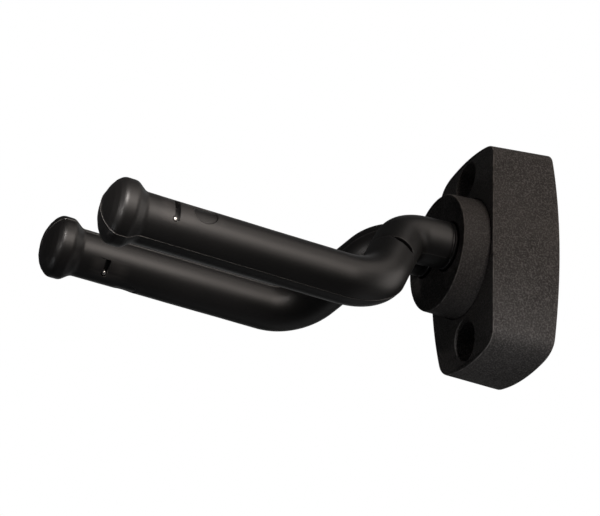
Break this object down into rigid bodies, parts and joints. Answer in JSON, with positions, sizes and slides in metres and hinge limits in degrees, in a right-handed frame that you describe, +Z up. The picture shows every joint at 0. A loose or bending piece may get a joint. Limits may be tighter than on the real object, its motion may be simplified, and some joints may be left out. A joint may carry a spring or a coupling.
{
  "type": "wall guitar hanger",
  "caption": "Wall hanger for a guitar: a chunky moulded barrel-shaped wall plate with a round turret, carrying a swivelling yoke with padded arms that end in flared stops.",
  "frame": {"origin": "where the swivel axis of the yoke meets the wall plane, at the centre of the wall plate's back", "axes": "+Z up, -Y out of the wall into the room along the arms, +X to the right of a person who faces the wall"},
  "size_m": [0.0818, 0.1489, 0.074],
  "materials": {
    "shell_plastic": "charcoal black moulded plastic with a fine spark-eroded grain",
    "sleeve_rubber": "smooth semi-matte black soft rubber with fine mould lines",
    "raw_steel": "bare mild steel",
    "zinc_steel": "bright zinc plate",
    "bright_steel": "polished pin end",
    "acetal": "natural white bearing plastic",
    "nylon": "blue nylon insert"
  },
  "bodies": {
    "base": {"wall_plate": "shell_plastic", "pivot_bush": "acetal"},
    "yoke": {"turret_cover": "shell_plastic", "yoke_disc": "raw_steel", "pivot_stud": "zinc_steel", "thrust_washer": "acetal", "plain_washer": "zinc_steel", "spring_washer": "zinc_steel", "lock_nut": "zinc_steel", "lock_nut_insert": "nylon", "cover_screw_upper": "zinc_steel", "cover_screw_lower": "zinc_steel", "right_arm_rod": "raw_steel", "right_stub_sleeve": "sleeve_rubber", "right_arm_sleeve": "sleeve_rubber", "right_sleeve_pin": "bright_steel", "left_arm_rod": "raw_steel", "left_stub_sleeve": "sleeve_rubber", "left_arm_sleeve": "sleeve_rubber", "left_sleeve_pin": "bright_steel"}
  },
  "joints": [
    {"name": "yoke_swivel", "type": "hinge", "parent": "base", "child": "yoke", "pos_m": [0, -0.018, 0], "axis": [0, 1, 0], "continuous": true}
  ]
}
